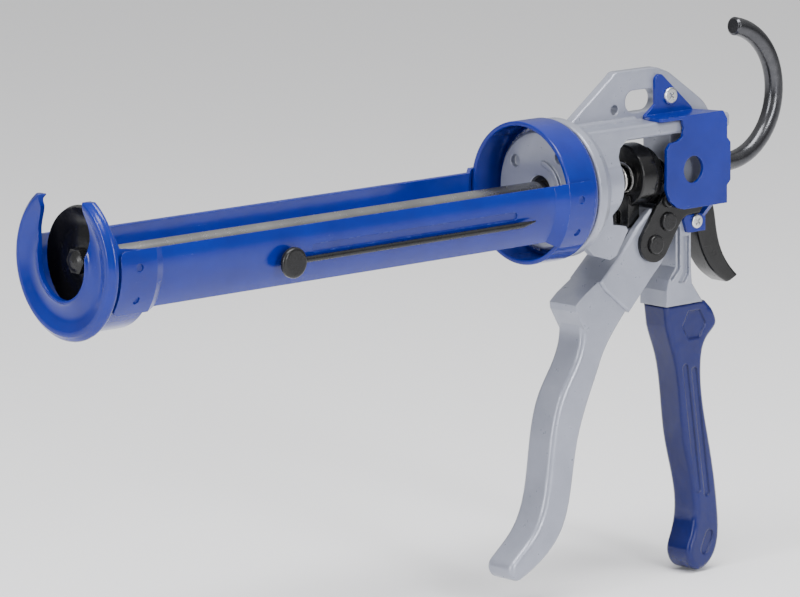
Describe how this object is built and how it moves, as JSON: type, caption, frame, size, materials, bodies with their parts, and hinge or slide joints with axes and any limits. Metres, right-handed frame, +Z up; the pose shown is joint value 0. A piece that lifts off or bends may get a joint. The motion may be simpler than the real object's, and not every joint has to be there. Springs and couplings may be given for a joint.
{
  "type": "caulking gun",
  "caption": "Hand caulking gun: open turning cradle for a cartridge, hooked push rod, geared-down trigger, rubber-dipped handle and thumb release.",
  "frame": {"origin": "on the push rod's axis, at the front rim of the cradle's rear ring", "axes": "+X from the nozzle end towards the hook, +Z up, -Y the side with the guard and the seal punch"},
  "size_m": [0.3956, 0.0641, 0.2371],
  "materials": {
    "blue_enamel": "gloss",
    "casting": "satin",
    "black_paint": "gloss",
    "black_steel": "satin",
    "rod_steel": "satin",
    "spring_wire": "gloss",
    "zinc": "gloss",
    "vinyl": "gloss"
  },
  "bodies": {
    "frame": {"frame_casting": "casting", "grip_sleeve": "vinyl", "guard": "blue_enamel", "guard_screws": "zinc", "retaining_ring": "zinc", "front_bushing": "black_steel", "rear_bushing": "black_steel", "release_pin": "zinc", "main_spring": "spring_wire", "release_spring": "spring_wire"},
    "cradle": {"rear_ring": "blue_enamel", "rail_far": "blue_enamel", "rail_near": "blue_enamel", "front_cap": "blue_enamel", "punch_stud": "black_steel"},
    "seal_punch": {"punch_wire": "black_steel"},
    "rod": {"push_rod": "rod_steel", "piston_nut": "black_steel"},
    "piston": {"piston": "black_paint"},
    "trigger": {"trigger_lever": "casting", "link_plate_near": "black_paint", "link_plate_far": "black_paint", "pivot_pin": "black_steel", "trigger_rivet": "black_steel", "thrust_pin": "black_steel"},
    "drive": {"drive_block": "black_paint", "grip_plate": "black_steel"},
    "release": {"release_lever": "black_paint"}
  },
  "joints": [
    {"name": "cradle_turn", "type": "hinge", "parent": "frame", "child": "cradle", "pos_m": [0, 0, 0], "axis": [1, 0, 0], "continuous": true},
    {"name": "punch_swing", "type": "hinge", "parent": "cradle", "child": "seal_punch", "pos_m": [-0.15, -0.02876, -0.007], "axis": [0, 1, 0], "range_deg": [0, 150]},
    {"name": "rod_slide", "type": "slide", "parent": "frame", "child": "rod", "axis": [1, 0, 0], "range_m": [0, 0.21]},
    {"name": "piston_spin", "type": "hinge", "parent": "rod", "child": "piston", "pos_m": [-0.23, 0, 0], "axis": [1, 0, 0], "continuous": true},
    {"name": "trigger_pull", "type": "hinge", "parent": "frame", "child": "trigger", "pos_m": [0.0747, 0, -0.0192], "axis": [0, -1, 0], "range_deg": [0, 24], "stiffness_Nm_per_rad": 0.8, "springref_deg": -30},
    {"name": "drive_slide", "type": "slide", "parent": "frame", "child": "drive", "axis": [-1, 0, 0], "range_m": [0, 0.0037], "deforming": ["main_spring"]},
    {"name": "release_press", "type": "hinge", "parent": "frame", "child": "release", "pos_m": [0.0997, 0, 0.0146], "axis": [0, 1, 0], "range_deg": [0, 5], "stiffness_Nm_per_rad": 0.3, "springref_deg": -10, "deforming": ["release_spring"]}
  ],
  "couplings": [
    {"joint": "drive_slide", "follows": "trigger_pull", "m_per_rad": 0.00874}
  ]
}
